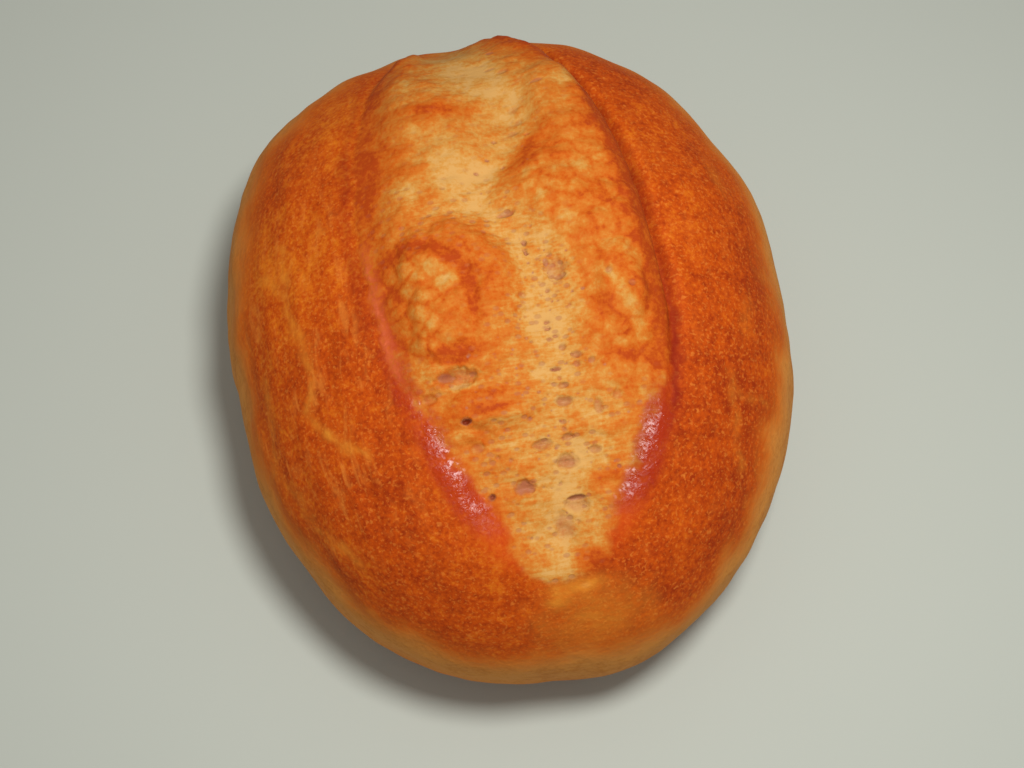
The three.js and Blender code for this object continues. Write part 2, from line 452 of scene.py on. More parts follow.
# Less baked crust: the stretched patch under the near tip, and small blots on both sides
palePatches = (
    (3.5, -45.0, 9.5, 4.6, 0, 0.5),
    (0.0, -42.2, 4.4, 1.8, 0, 0.35),
    (2.2, -41.8, 3.4, 0.9, 3, 0.35),
    (-24.0, 10.0, 1.6, 0.8, 0, 0.25),
    (-28.5, -3.6, 1.2, 0.9, 30, 0.3),
    (-26.4, -17.6, 1.6, 0.8, -30, 0.2),
    (-26.6, -31.2, 1.6, 0.9, -40, 0.2),
    (31.0, 12.0, 1.2, 4.5, 10, 0.2),
    (30.5, -10.0, 1.2, 4.0, -14, 0.2),
)

# Pale seams where the skin of the dough pulled
paleSeams = {
    "wander": 0.7,
    "wanderScale": 0.5,
    "wanderLayers": (11.0, 17.0),
    "level": 0.75,
    "waver": ((0.8, 0.6, 0.6, 5.0),),
    "lines": (  # places, half width, strength
        (((-32.1, 7.1), (-29.7, 2.6), (-29.5, -1.5), (-28.3, -4.0), (-27.6, -10.0),
          (-29.1, -13.5), (-27.5, -16.8), (-25.2, -19.3), (-21.8, -21.5)), 0.55, 0.55),
        (((-34.4, -6.4), (-34.2, -12.0), (-35.0, -17.3), (-31.5, -23.7),
          (-30.1, -27.1), (-25.0, -33.5)), 0.5, 0.4),
        (((-29.3, 10.1), (-30.0, 7.0), (-29.6, 4.2)), 0.5, 0.4),
        (((26.6, -17.6), (26.3, -21.3), (25.9, -29.8)), 0.5, 0.35),
        (((27.1, -20.0), (28.0, -20.7), (31.3, -21.1)), 0.5, 0.4),
    ),
}


def seamShare(x, y):
    scale = paleSeams["wanderScale"]
    spot = Vector([
        place + paleSeams["wander"] * grain(x * scale, y * scale, layer)
        for place, layer in zip((x, y), paleSeams["wanderLayers"])
    ])
    strongest = 0.0
    for places, width, strength in paleSeams["lines"]:
        for start, end in zip(places, places[1:]):
            _, along = geometry.intersect_point_line(spot, Vector(start), Vector(end))
            nearest = Vector(start).lerp(Vector(end), min(max(along, 0.0), 1.0))
            strongest = max(strongest, strength * hump((spot - nearest).length, width))
    return strongest * (paleSeams["level"] + layered(paleSeams["waver"], x, y))


def patchShare(patch, x, y):
    px, py, across, along, turn = patch[:5]
    c, s = math.cos(math.radians(turn)), math.sin(math.radians(turn))
    dx, dy = x - px, y - py
    return math.hypot((dx * c + dy * s) / across, (dy * c - dx * s) / along)


def farShare(y):
    return ramp(y, crumbShape["farFrom"], crumbShape["farFull"])


def valleyMiddle(y):
    start = ramp(y, lips["near"], lips["near"] + crumbShape["valleyStart"])
    bend = crumbShape["bendShift"] * hump(y - crumbShape["bendAt"], crumbShape["bendLength"])
    return crumbShape["valleyMiddle"] * start + bend + crumbShape["farShift"] * farShare(y)


def plantTree(spots):
    tree = kdtree.KDTree(len(spots))
    for index, (x, y) in enumerate(spots):
        tree.insert((x, y, 0), index)
    tree.balance()
    return tree


def strewBubbles():
    random.seed(bubbles["seed"])
    spots = [spot[:2] for spot in bubbles["large"]]
    shapes = [spot[2:] for spot in bubbles["large"]]
    smallest, largest = bubbles["sizes"]
    while len(spots) < len(bubbles["large"]) + bubbles["strewn"]:
        y = random.triangular(*bubbles["alongCut"])
        spread = mix(*bubbles["spread"], ramp(y, *bubbles["spreadOver"]))
        x = valleyMiddle(y) + random.gauss(0, spread)
        size = smallest * (largest / smallest) ** (random.random() ** bubbles["smallness"])
        if min(insideLip(lips["left"], x, y), insideLip(lips["right"], x, y)) < bubbles["lipMargin"]:
            continue
        spots.append((x, y))
        along = size * bubbles["flatness"] * random.uniform(*bubbles["flatnessRange"])
        shapes.append((size, along, size * bubbles["depthShare"], random.uniform(*bubbles["tones"])))
    return plantTree(spots), shapes


bubbleTree, bubbleShapes = strewBubbles()
print("strewn:", len(bubbleShapes), "bubbles")


def bubbleDents(x, y):
    # depth, tone, and the share of the nearest bubble
    depth, hollow, nearest = 0.0, 0.0, bubbles["farAway"]
    for spot, index, _ in bubbleTree.find_range((x, y, 0), bubbles["searchWithin"]):
        across, along, deep, tone = bubbleShapes[index]
        dx, dy = abs(x - spot.x) / across, abs(y - spot.y) / along
        pointed = bubbles["pointed"] * ramp(across / along, *bubbles["pointedOver"])
        share = mix(math.hypot(dx, dy), dx * dx + dy, pointed)
        for size, scale in bubbles["rimWavers"]:
            share += size * grain(x * scale, y * scale, index)
        nearest = min(nearest, share)
        if share < bubbles["rimReach"]:
            rim = bubbles["rimRise"] * hump(share - bubbles["rimAt"], bubbles["rimWidth"])
            depth += deep * (max(1 - share * share, 0.0) - rim)
            hollow = max(hollow, tone * (1 - ramp(share, *bubbles["toneEdge"])))
    return depth, hollow, nearest


def cellBumps(x, y, size, layer):
    # rounded cells of uneven size: height of a cell, and the seams where cells meet
    scale = cellShape["waverScale"]
    wander = cellShape["waver"] * grain(x * scale, y * scale, layer)
    nearest, second = noise.voronoi(Vector((x / size + wander, y / size - wander, layer)))[0][:2]
    return cellShape["level"] - nearest, 1 - ramp(second - nearest, 0.0, cellShape["seamWidth"])


def skinPad(x, y, reached):
    # rise, its bumps, lean of the front, browning, share of the bumpy pad
    fold = skinFold
    across = fold["across"] if x > fold["x"] else fold["leftAcross"]
    share = math.hypot((x - fold["x"]) / across, (y - fold["y"]) / fold["along"])
    share += layered(fold["waver"], x, y)
    arch = ramp(y + fold["archSlant"] * x, *fold["archOver"])
    ringAcross = fold["ringAcross"] if x > fold["ringX"] else fold["ringLeft"]
    inRing = math.hypot((x - fold["ringX"]) / ringAcross, (y - fold["ringY"]) / fold["ringAlong"])
    inRing += layered(fold["ringWaver"], x, y)
    ring = hump(inRing - 1, fold["ringWidth"]) * ramp(y, *fold["ringNear"]) * ramp(x, *fold["ringFromLeft"])
    pad = 1 - ramp(inRing, *fold["padEdge"])
    cell, seam = cellBumps(x, y, fold["cell"], fold["cellLayer"])
    rise = fold["rise"] * (1 - ramp(share, mix(*fold["fallFrom"], arch), fold["fallTo"]))
    rise += pad * fold["crown"] - fold["ringDepth"] * ring
    bumps = pad * fold["cellRise"] * cell * ramp(reached, 0, fold["bumpsFrom"])
    lean = fold["front"] * arch * hump(share - fold["frontAt"], fold["frontWidth"])
    skin = (1 - ramp(share, *fold["skinEdge"])) * (1 - pad) * arch
    brown = fold["skinBrown"] * skin + fold["ringBrown"] * ring
    # browner seams, and paler cell centres as painted highlight on the bumps
    brown += pad * (fold["seamBrown"] * seam - fold["cellHighlight"] * cell - fold["padPale"])
    return rise * ramp(reached, 0, fold["settled"]), bumps, lean, brown, pad


def crumbEdge(inside, wall, x, y):
    # where crumb starts, past the wall and past the near tip
    first, last = crumbShape["edge"]
    past = ramp(inside + layered(crumbShape["edgeWaver"], x, y), wall + first, wall + last)
    tip = y + sum(weight * grain(x * scale, layer) for weight, scale, layer in crumbShape["tipWaver"])
    return past * ramp(tip, lips["near"], lips["near"] + crumbShape["tipEdge"])


def creaseShade(side, reached, x, y, started, far):
    # painted shade along a crease, with some browning: a dark line, uneven in strength and place
    shadeAndBrowning = side["shade"] + side["dark"] * fade(y, lips["darkAlong"])
    shadeAndBrowning *= started * (1 - lips["farPale"] * far)
    size, scale = lips["shadeWaverAlong"]
    shadeAndBrowning *= lips["shadeLevel"] + size * grain(y * scale, side["seed"])
    uneven = layered(lips["shadeWaver"], x, y)
    return shadeAndBrowning * hump(reached + side["shadeAt"] + uneven, side["shadeWidth"])


def burst(x, y):
    dough = crumbShape
    left = insideLip(lips["left"], x, y)
    right = insideLip(lips["right"], x, y)
    inside = -math.log(math.exp(-left) + math.exp(-right))  # the nearer one, with no kink at the tip
    lip = lips["left"] if left < right else lips["right"]
    opened = ramp(y, lips["near"], lips["near"] + lips["tip"])
    opened *= 1 - ramp(y, lips["far"] - lips["farFade"], lips["far"] - lips["farShut"])
    swollen = ramp(y, dough["swellFrom"], dough["swellFull"])
    flankWidth = mix(dough["nearFlank"], lip["flank"], swollen)
    far = farShare(y)
    flank = ramp(inside, 0, mix(flankWidth, dough["endFlank"], far))
    wall = mix(lip["wall"], dough["wallLeast"], ramp(y, *dough["wallShrinks"]))
    wall *= ramp(y, *dough["wallStarts"])
    crumb = crumbEdge(inside, wall, x, y)

    # two lobes and the valley
    middle = valleyMiddle(y)
    width = dough["valleyWidth"]
    sideRise = mix(dough["leftRise"], dough["rightRise"], ramp(x, middle - width, middle + width))
    trough = dough["valleyDepth"] + dough["valleyShare"] * sideRise * swollen
    trough *= hump(x - middle, width)
    trough *= 1 - dough["shallow"] * fade(y, dough["shallowAlong"])
    sideRise *= mix(1, dough["farRise"], far)
    rise = flank * (mix(-dough["sunk"], sideRise, swollen) - trough)
    for lump in dough["lumps"]:
        share = patchShare((*lump[:4], 0), x, y)
        rise += flank * lump[4] * (1 - ramp(share, *dough["lumpFall"]))

    # torn dough, strands, wrinkled and bumpy skin, bubbles
    tear = cloudsAt(dough["tearScale"], x, y)
    leather = cloudsAt(dough["leatherScale"], x, y)
    across, along, layer = dough["strandScale"]
    strand = grain(x * across + dough["strandSlant"] * y, y * along, layer)
    strand += layered(dough["fineStrands"], x, y)
    padRise, padBumps, lean, padBrown, pad = skinPad(x, y, left)
    bumpy = (1 - pad) * ramp(x - middle, *dough["cellAcross"]) * fade(y, dough["cellAlong"])
    cell, seam = cellBumps(x, y, dough["cell"], dough["cellLayer"])
    rise += flank * mix(dough["tear"], dough["farTear"], ramp(y, *dough["tearEases"])) * tear
    rise += flank * dough["strand"] * strand * (1 - pad) * (1 - dough["farStrands"] * far)
    rise += flank * dough["leather"] * leather * ramp(abs(x - middle), *dough["leatherFrom"])
    rise += flank * (padRise + bumpy * dough["cellRise"] * cell) + padBumps
    dent, hollow, _ = bubbleDents(x, y) if crumb > 0 else (0.0, 0.0, None)
    rise -= crumb * dent

    shade = 0.0
    for side, reached in ((lips["left"], left), (lips["right"], right)):
        depth = mix(side["crease"], side["endCrease"], far)
        started = ramp(y, side["creaseFrom"], side["creaseFrom"] + lips["creaseRun"])
        rise -= depth * swollen * started * hump(reached, side["creaseWidth"])
        shade = max(shade, creaseShade(side, reached, x, y, started, far))

    # browning
    toast = toasting["level"] + toasting["tear"] * tear + toasting["leather"] * leather + padBrown
    # browner seams, and paler cell centres as painted highlight on the bumps
    toast += bumpy * (toasting["seams"] * seam - toasting["cells"] * cell)
    for patch in toastAndLightPatches:
        share = patchShare(patch, x, y) + toasting["patchWaver"] * tear
        toast += patch[5] * (1 - ramp(share, *toasting["patchEdge"]))
    browned = mix(*lip["browned"], ramp(y, *lips["brownedFar"]))
    lipTo = mix(*toasting["lipTo"], swollen)
    besideLip = 1 - ramp(inside - wall, toasting["lipFrom"], lipTo)
    toast += mix(toasting["nearLip"], browned, swollen) * besideLip
    toast -= toasting["valleyPale"] * hump(x - middle, toasting["valleyWidth"])

    gloss = opened * fade(y, lip["shineAlong"]) * fade(inside, lip["shineAcross"])
    slideX = lip["side"] * lip["lean"] * swollen * opened * hump(inside - lips["leanAt"], lips["leanWidth"])
    wallStops = (*toasting["wallAcross"], wall, wall + toasting["wallFade"])
    drawnOut = 1 - toasting["bumpyStrands"] * max(pad, bumpy)
    drawnOut *= 1 - toasting["brownStrands"] * ramp(toast, *toasting["brownOver"])
    drawnOut *= 1 - toasting["farStrands"] * ramp(y, *toasting["farOver"])
    paint = {
        "crumb": crumb,
        "toast": min(toast, toasting["most"]),
        "strands": drawnOut,
        "pore": hollow * crumb,
        "gloss": gloss,
        # dark red: painted shade along the creases, and the lips darker under the shine
        "crease": max(opened * shade, lip["darkUnderShine"] * gloss),
        "wall": opened * (1 - swollen) * fade(inside, wallStops),
        # a pink film along the left lip: partly painted sheen and painted light on a slope turned from the
        # lamp
        "skin": fade(left, toasting["sheenFilmAcross"]) * fade(y, toasting["sheenFilmAlong"]),
    }
    return opened * rise, slideX, opened * lean, paint


def planPlace(direction):
    # where a direction out of the ball lands in plan
    angle = math.atan2(direction.y, direction.x)
    fall = math.acos(min(max(direction.z, -1.0), 1.0))
    arc = min(fall / bodyShape["bellyFall"], 1.0) * math.pi / 2
    share = math.sin(arc) ** (2 / bodyShape["domeSquareness"])
    share *= mix(1 - bodyShape["topCrowding"], 1, share * share)
    radius = outlineRadius(angle) * share
    return angle, fall, radius * math.cos(angle), radius * math.sin(angle)


def crustWaves(x, y, z):
    rise = sum(depth * clouds(x / size, y / size, z / size, 2) for size, depth in bodyShape["dents"])
    leftSide = ramp(-x, *bodyShape["wrinkleLeft"]) * ramp(z, *bodyShape["wrinkleUp"])
    scaleX, scaleY, scaleZ = bodyShape["wrinkleScale"]
    rise += leftSide * bodyShape["wrinkle"] * grain(x * scaleX, y * scaleY, z * scaleZ)
    return rise


# Colour of the crust: drift of the browning, pale band round the foot, brown rim by the hot tray
crustPaint = {
    "bakeLevel": -0.035,
    "bakeRight": 0.08,
    "rightOver": (0, 30),
    "bakeNear": 0.1,
    "nearOver": (-12, 26),
    "patchWaver": ((0.3, 0.4, 0.4, 3.0),),
    "patchEdge": (0.0, 1.3),
    "wrinkleLevel": 0.25,
    "wrinkleLeft": (14, 24),
    "wrinkleAlong": (-36, -26, 8, 20),
    "footHeight": 31.7,
    "footSwings": (1.0, 0.5, 3.2),  # twice round, sideways, endways
    "footHumps": ((-35, 18, 2.5), (-128, 14, -2.5), (-70, 12, -2.0)),  # place and spread in degrees, rise
    "footWaver": (2.0, 2, 2.0),  # size, scale, layer
    "footFine": (2.0, 9, 0.1),  # size, scale, scale upwards
    "footBelow": 8,
    "footAbove": 6,
    "footBrown": 0.42,  # share of the pale band that is left towards the tray
    "footBrownOver": (4, 21),
    "footBrownWaver": (4, 3, 0.08),
    "tray": 0.8,
    "trayOver": (0, 14),
    "trayWaver": 3,
    "trayScale": (0.15, 0.2),  # sideways, upwards
    "baseEdge": (0.9, 1.04),  # shares of the flat base
    "baseWaves": 0.8,
}


def bakeShare(x, y):
    # browner on the right and towards the near end
    right = crustPaint["bakeRight"] * ramp(x, *crustPaint["rightOver"])
    return right + crustPaint["bakeNear"] * ramp(-y, *crustPaint["nearOver"]) + crustPaint["bakeLevel"]


def footShare(angle, z):
    # the less baked band round the foot, lowest at the near end
    c, s = math.cos(angle), math.sin(angle)
    twice, sideways, endways = crustPaint["footSwings"]
    middle = crustPaint["footHeight"] + twice * math.cos(2 * angle) + sideways * c + endways * s
    for degrees, spread, rise in crustPaint["footHumps"]:
        middle += rise * hump(angle - math.radians(degrees), math.radians(spread))
    size, scale, layer = crustPaint["footWaver"]
    middle += size * grain(scale * c, scale * s, layer)
    size, scale, upwards = crustPaint["footFine"]
    middle += size * grain(scale * c, scale * s, z * upwards)
    size, scale, upwards = crustPaint["footBrownWaver"]
    lower = ramp(z + size * grain(scale * c, scale * s, z * upwards), *crustPaint["footBrownOver"])
    band = 1 - ramp(z, middle - crustPaint["footBelow"], middle + crustPaint["footAbove"])
    return band * mix(crustPaint["footBrown"], 1.0, lower)


def upperPoint(angle, x, y):
    z = domeHeight(x, y)
    normal = outward(x, y, z)
    rise, slideX, slideY, paint = burst(x, y)
    rise += crustWaves(x, y, z) * (1 - bodyShape["crumbDents"] * paint["crumb"])
    slide = Vector((slideX, slideY, 0))
    point = Vector((x, y, z)) + slide - normal * slide.dot(normal) + normal * rise
    crust = 1 - paint["crumb"]
    paint["pale"] = seamShare(x, y) * crust
    for patch in palePatches:
        share = patchShare(patch, x, y) + layered(crustPaint["patchWaver"], x, y)
        paint["pale"] += patch[5] * (1 - ramp(share, *crustPaint["patchEdge"]))
    paint["foot"] = footShare(angle, point.z) * crust
    paint["bake"] = bakeShare(x, y)
    folds = ramp(-x, *crustPaint["wrinkleLeft"]) * fade(y, crustPaint["wrinkleAlong"])
    paint["wrinkle"] = crust * (crustPaint["wrinkleLevel"] + folds)
    return point, paint


def lowerPoint(angle, fall):
    power = 2 / bodyShape["undersideSquareness"]
    base = bodyShape["baseShare"]
    if fall < bodyShape["baseFall"]:
        run = (fall - bodyShape["bellyFall"]) / (bodyShape["baseFall"] - bodyShape["bellyFall"])
        arc = run * math.pi / 2
        share = mix(base, 1, math.cos(arc) ** power)
        z = bodyShape["belly"] * (1 - math.sin(arc) ** power)
    else:
        share = base * (math.pi - fall) / (math.pi - bodyShape["baseFall"])
        z = 0.0
    radius = outlineRadius(angle) * share
    x, y = radius * math.cos(angle), radius * math.sin(angle)
    radius += crustWaves(x, y, z) * ramp(share, base * crustPaint["baseWaves"], base)
    point = Vector((radius * math.cos(angle), radius * math.sin(angle), z))
    sideways, upwards = crustPaint["trayScale"]
    uneven = crustPaint["trayWaver"] * grain(x * sideways, y * sideways, z * upwards)
    browned = crustPaint["tray"] * (1 - ramp(z + uneven, *crustPaint["trayOver"]))
    inner, outer = crustPaint["baseEdge"]
    paint = {
        "foot": footShare(angle, z),
        "base": max(browned, 1 - ramp(share, base * inner, base * outer)),
        "bake": bakeShare(x, y),
    }
    return point, paint


rollMesh = {
    "ballLevels": 6,
    "lowestFine": math.radians(128),  # facets above this fall are halved once
    "cutMargin": 4.0,  # and once more this far outside the lips
    "tipMargin": 3,
    "bubbleMargin": 1.5,  # and again round each bubble
    "outlineSteps": 1440,
}
paintNames = (
    "crumb", "toast", "strands", "pore", "gloss", "crease", "wall",
    "pale", "foot", "base", "bake", "wrinkle", "skin",
)


def onUpperSide(direction):
    return direction.z > math.cos(rollMesh["lowestFine"])


def nearCut(direction):
    _, fall, x, y = planPlace(direction)
    if fall > bodyShape["bellyFall"] or y <= lips["near"] - rollMesh["tipMargin"]:
        return False
    margin = -rollMesh["cutMargin"]
    return insideLip(lips["left"], x, y) > margin and insideLip(lips["right"], x, y) > margin


def nearBubble(direction):
    _, fall, x, y = planPlace(direction)
    return fall < bodyShape["bellyFall"] and bubbleDents(x, y)[2] < rollMesh["bubbleMargin"]


def refine(bm, wanted):
    chosen = {v for v in bm.verts if wanted(v.co)}
    edges = [e for e in bm.edges if e.verts[0] in chosen and e.verts[1] in chosen]
    bmesh.ops.subdivide_edges(bm, edges=edges, cuts=1, use_grid_fill=True)
    bmesh.ops.triangulate(bm, faces=[f for f in bm.faces if len(f.verts) > 3])
    for v in bm.verts:
        v.co.normalize()


def bakeRoll():
    bm = bmesh.new()
    bmesh.ops.create_icosphere(bm, subdivisions=rollMesh["ballLevels"], radius=1.0)
    for wanted in (onUpperSide, nearCut, nearBubble):
        refine(bm, wanted)

    layers = {name: bm.verts.layers.float.new(name) for name in paintNames}
    for v in bm.verts:
        angle, fall, x, y = planPlace(v.co)
        if fall < bodyShape["bellyFall"]:
            v.co, paint = upperPoint(angle, x, y)
        else:
            v.co, paint = lowerPoint(angle, fall)
        for name, value in paint.items():
            v[layers[name]] = value

    # set the outline over the solid's box
    steps = rollMesh["outlineSteps"]
    angles = [math.radians(step * 360 / steps) for step in range(steps)]
    sidesX = [outlineRadius(angle) * math.cos(angle) for angle in angles]
    sidesY = [outlineRadius(angle) * math.sin(angle) for angle in angles]
    middle = Vector(((min(sidesX) + max(sidesX)) / 2, (min(sidesY) + max(sidesY)) / 2, 0))
    bmesh.ops.translate(bm, verts=bm.verts, vec=-middle)
    bmesh.ops.scale(bm, verts=bm.verts, vec=(mm, mm, mm))
    bmesh.ops.translate(bm, verts=bm.verts, vec=rollFoot)
    bmesh.ops.recalc_face_normals(bm, faces=bm.faces)
    for f in bm.faces:
        f.smooth = True
    print("roll:", len(bm.faces), "faces")

    mesh = bpy.data.meshes.new("bakedRoll")
    bm.to_mesh(mesh)
    bm.free()
    roll = bpy.data.objects.new("bakedRoll", mesh)
    bpy.context.collection.objects.link(roll)
    return roll


class Wire:
    # one socket of a finish; sums on wires add Math nodes
    def __init__(self, finish, socket):
        self.finish = finish
        self.socket = socket

    def other(self, name):
        return Wire(self.finish, self.socket.node.outputs[name])

    def maths(self, operation, first, second):
        return self.finish.add("ShaderNodeMath", {"operation": operation}, {0: first, 1: second})

    def __add__(self, other):
        return self.maths("ADD", self, other)

    def __sub__(self, other):
        return self.maths("SUBTRACT", self, other)

    def __rsub__(self, other):
        return self.maths("SUBTRACT", other, self)

    def __mul__(self, other):
        return self.maths("MULTIPLY", self, other)

    def __truediv__(self, other):
        return self.maths("DIVIDE", self, other)

    def __rtruediv__(self, other):
        return self.maths("DIVIDE", other, self)

    __radd__ = __add__
    __rmul__ = __mul__


class Finish:
    def __init__(self, name):
        self.material = bpy.data.materials.new(name)
        self.material.use_nodes = True
        self.tree = self.material.node_tree
        self.tree.nodes.clear()

    def add(self, kind, settings=None, sockets=None, out=0):
        node = self.tree.nodes.new(kind)
        for key, value in (settings or {}).items():
            if key == "stops":
                self.setStops(node.color_ramp, value)
            else:
                setattr(node, key, value)
        for key, value in (sockets or {}).items():
            if isinstance(value, Wire):
                self.tree.links.new(value.socket, node.inputs[key])
            else:
                node.inputs[key].default_value = value
        return Wire(self, node.outputs[out]) if len(node.outputs) else node

    def setStops(self, band, stops):
        for _ in range(len(stops) - len(band.elements)):
            band.elements.new(0.5)
        for element, (place, colour) in zip(band.elements, stops):
            element.position = place
            element.color = colour

    def painted(self, name):
        return self.add("ShaderNodeAttribute", {"attribute_name": name}, out="Fac")

    def noise(self, place, size, detail=2.0, roughness=0.5, distortion=0.0):
        return self.add("ShaderNodeTexNoise", {}, {
            "Vector": place, "Scale": 1 / size,
            "Detail": detail, "Roughness": roughness, "Distortion": distortion,
        })

    def cells(self, place, size):
        return self.add("ShaderNodeTexVoronoi", {}, {"Vector": place, "Scale": 1 / size}, out="Distance")

    def step(self, value, start, end):
        return self.add("ShaderNodeMapRange", {"interpolation_type": "SMOOTHSTEP"}, {
            "Value": value, "From Min": start, "From Max": end, "To Min": 0.0, "To Max": 1.0,
        })

    def blend(self, share, first, second):
        # 0, 6 and 7 are the colour sockets of Mix, and 2 its colour output
        return self.add("ShaderNodeMix", {"data_type": "RGBA"}, {0: share, 6: first, 7: second}, out=2)


def tint(red, green, blue):
    # screen colour, 0 to 255, as the linear colour that shaders take
    return (*(((c / 255 + 0.055) / 1.055) ** 2.4 if c > 10 else c / 3295 for c in (red, green, blue)), 1.0)


bakeColours = {
    "crust": ((0.0, tint(204, 106, 16)), (0.5, tint(181, 70, 2)), (1.0, tint(144, 43, 1))),
    "speck": tint(214, 124, 44),
    "fleck": tint(140, 44, 4),
    "golden": tint(203, 106, 24),
    "foot": tint(209, 141, 62),
    "footStreak": tint(178, 104, 36),
    "palePatch": tint(214, 132, 38),
    "bare": tint(220, 172, 108),
    "wall": tint(184, 60, 5),
    "crease": tint(122, 22, 5),
    "crumb": (
        (0.0, tint(197, 148, 82)), (0.2, tint(192, 134, 60)), (0.45, tint(190, 109, 34)),
        (0.75, tint(185, 85, 13)), (1.0, tint(164, 60, 7)),
    ),
    # painted shade in the creases, with some browning
    "scorch": tint(150, 34, 20),
    # lighter pink film on the left lip: partly painted sheen and painted light
    "skin": tint(214, 104, 62),
    "film": tint(156, 96, 70),
    "pitShade": tint(112, 34, 8),
    # painted shade in the deepest holes
    "base": tint(166, 92, 36),
}


# Patterns of crust and crumb. Noises: size in mm, detail, roughness, distortion. Edges: ends of a step
crustLook = {
    "contour": (0.36, 0.36, 1.3),  # drawn out along the outline
    "drawn": (0.18, 1.1, 1.0),  # drawn out across the cut
    "foamStretch": (0.8, 1.2, 1.0),
    "foldStretch": (0.7, 0.16, 0.5),
    "broad": (13.0, 3.0),
    "mottle": (2.4, 4.0, 0.62),
    "fine": (0.6, 3.0, 0.6),
    "streaky": (1.0, 3.0, 0.6),
    "streakSwing": 0.6,
    "bake": 2,
    "shake": (0.7, 1.0),
    "shakeSize": (1.1, 1.1, 1.1),
    "dot": 1.25, "dotEdge": (0.3, 0.1), "dotPick": (0.5, 0.62), "dotShare": 0.42,
    "dash": 0.75, "dashEdge": (0.32, 0.1), "dashPick": (0.55, 0.68), "dashShare": 0.12,
    "fleck": (0.9, 2.0), "fleckEdge": (0.58, 0.72), "fleckShare": 0.25,
    "speck": (0.4, 1.0), "speckEdge": (0.55, 0.72), "speckShare": 0.35,
    "fold": (1.0, 3.0, 0.55, 0.6), "foldEdge": (0.5, 0.75), "foldShare": 0.4,
    "wallShare": 0.5,
    "paleLevel": 0.9, "paleMottle": 1.4, "paleStreaks": 1.6, "bareEdge": (0.7, 1.3),
    "spotBroad": 0.5, "spotMottle": 0.7, "spotFine": 0.4, "spotStreaks": 0.3,
    "spotEdge": (0.7, 1.0), "spotShare": 0.6,
    "footMottle": 0.5, "footBroad": 0.5, "footStreaks": 0.3,
    "goldenEdge": (0.1, 0.6), "goldenShare": 0.8,
    "footEdge": (0.3, 0.95), "footShare": 0.9,
    "baseFine": 0.8, "baseEdge": (0.4, 0.68), "baseShare": 0.4,
    "marble": (2.0, 4.0, 0.62, 0.3), "marbleSwing": 0.75,
    "thread": (0.5, 3.0, 0.55), "threadSwing": 0.8,
    "fineSwing": 0.8,
    "foam": 1.1, "foamEdge": (0.42, 0.2), "foamPick": (0.4, 0.6), "foamShare": 0.45,
    "sheenFilmLevel": 0.35, "sheenFilmMarble": 1.6, "sheenFilmFine": 1.6,
    "filmLevel": 0.75, "filmMottle": 1.2, "filmEdge": (0.0, 1.0), "filmShare": 0.8,
    "pitShadeEdge": (1.0, 1.8),
    "creaseShadeShare": 0.85,
    "shine": (2.2, 3.0), "shineEdge": (0.34, 0.52), "scorchShare": 0.5,
    "blister": (0.5, 1.5, 0.5, 0.5), "blisterRise": 1.1,
    "pebble": 1.1, "pebbleRise": 0.35, "crustFine": 0.5, "crustMottle": 0.4,
    "threadRise": 0.3, "crumbFine": 0.5, "crumbMarble": 0.5, "foamDepth": 0.5,
    "roughness": 0.78, "roughMottle": 0.3, "roughShine": 0.55, "poreEdge": (0.2, 0.9), "roughPore": 0.3,
    "glint": (0.55, 2.0, 0.6), "glintEdge": (0.5, 0.62), "glintShare": 0.52,
}


